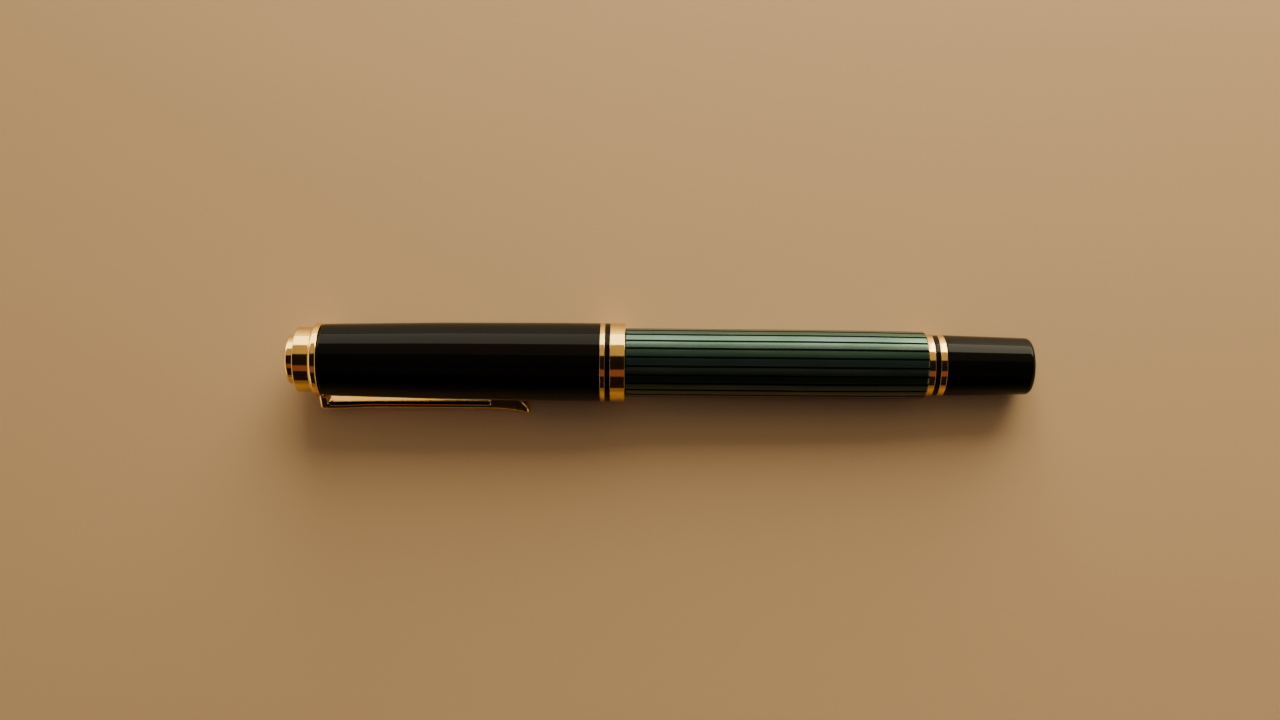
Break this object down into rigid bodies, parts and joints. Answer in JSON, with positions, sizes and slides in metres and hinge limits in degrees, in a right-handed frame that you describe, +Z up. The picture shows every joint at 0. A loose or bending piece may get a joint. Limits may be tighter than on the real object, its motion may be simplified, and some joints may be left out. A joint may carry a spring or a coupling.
{
  "type": "fountain pen",
  "caption": "Capped fountain pen with a striped barrel, metal trim, sprung clip, nib and feed, and a knob that works a piston filler by a screw thread.",
  "frame": {"origin": "on the pen's axis, at the front end of the striped barrel sleeve, where it comes out of the cap", "axes": "+X along the pen towards the filler knob, -X towards the cap's crown, +Z up with the pen lying on its cap band; the clip points to -Y and down"},
  "size_m": [0.1422, 0.0178, 0.0152],
  "materials": {
    "black_resin": "polished black resin",
    "striped_resin": "polished, lengthwise dark green stripes with fine black lines",
    "ink_window": "translucent dark green, polished",
    "gold_plate": "polished gold plate",
    "nib_gold": "polished gold",
    "tipping": "polished hard alloy",
    "brass_parts": "turned brass",
    "feed_plastic": "satin black",
    "seal": "pale, smooth",
    "liner": "satin black"
  },
  "bodies": {
    "barrel": {"barrel_sleeve": "striped_resin", "barrel_tube": "ink_window", "section": "black_resin", "section_ring": "gold_plate", "nib_collar": "black_resin", "feed": "feed_plastic", "nib": "nib_gold", "nib_point": "tipping", "end_ring_front": "gold_plate", "end_spacer": "black_resin", "end_ring_rear": "gold_plate", "filler_housing": "brass_parts"},
    "liner": {"inner_cap": "liner"},
    "cap": {"cap_tube": "black_resin", "cap_band": "gold_plate", "cap_hoop": "gold_plate", "clip_ring": "gold_plate", "crown": "gold_plate", "crown_bezel": "gold_plate", "crown_disc": "black_resin", "crown_screw": "brass_parts", "crown_nut": "brass_parts"},
    "clip": {"clip": "gold_plate"},
    "stop_collar": {"stop_collar": "brass_parts"},
    "knob": {"filler_knob": "black_resin", "spindle": "black_resin"},
    "piston": {"piston_rod": "brass_parts", "piston_seal": "seal"}
  },
  "joints": [
    {"name": "cap_pull", "type": "slide", "parent": "barrel", "child": "liner", "axis": [-1, 0, 0], "range_m": [0, 0.068]},
    {"name": "cap_turn", "type": "hinge", "parent": "liner", "child": "cap", "pos_m": [0, 0, 0], "axis": [1, 0, 0], "range_deg": [0, 270]},
    {"name": "clip_flex", "type": "hinge", "parent": "cap", "child": "clip", "pos_m": [-0.0595, -0.00589, -0.00405], "axis": [0, 0.5664, -0.8241], "range_deg": [0, 3], "stiffness_Nm_per_rad": 0.35},
    {"name": "knob_rise", "type": "slide", "parent": "barrel", "child": "stop_collar", "axis": [1, 0, 0], "range_m": [0, 0.00675]},
    {"name": "knob_turn", "type": "hinge", "parent": "stop_collar", "child": "knob", "pos_m": [0.06, 0, 0], "axis": [1, 0, 0], "range_deg": [0, 1620]},
    {"name": "piston_travel", "type": "slide", "parent": "barrel", "child": "piston", "axis": [-1, 0, 0], "range_m": [0, 0.02025]}
  ],
  "couplings": [
    {"joint": "knob_turn", "follows": "knob_rise", "rad_per_m": 4188.8},
    {"joint": "piston_travel", "follows": "knob_rise", "ratio": 3}
  ]
}
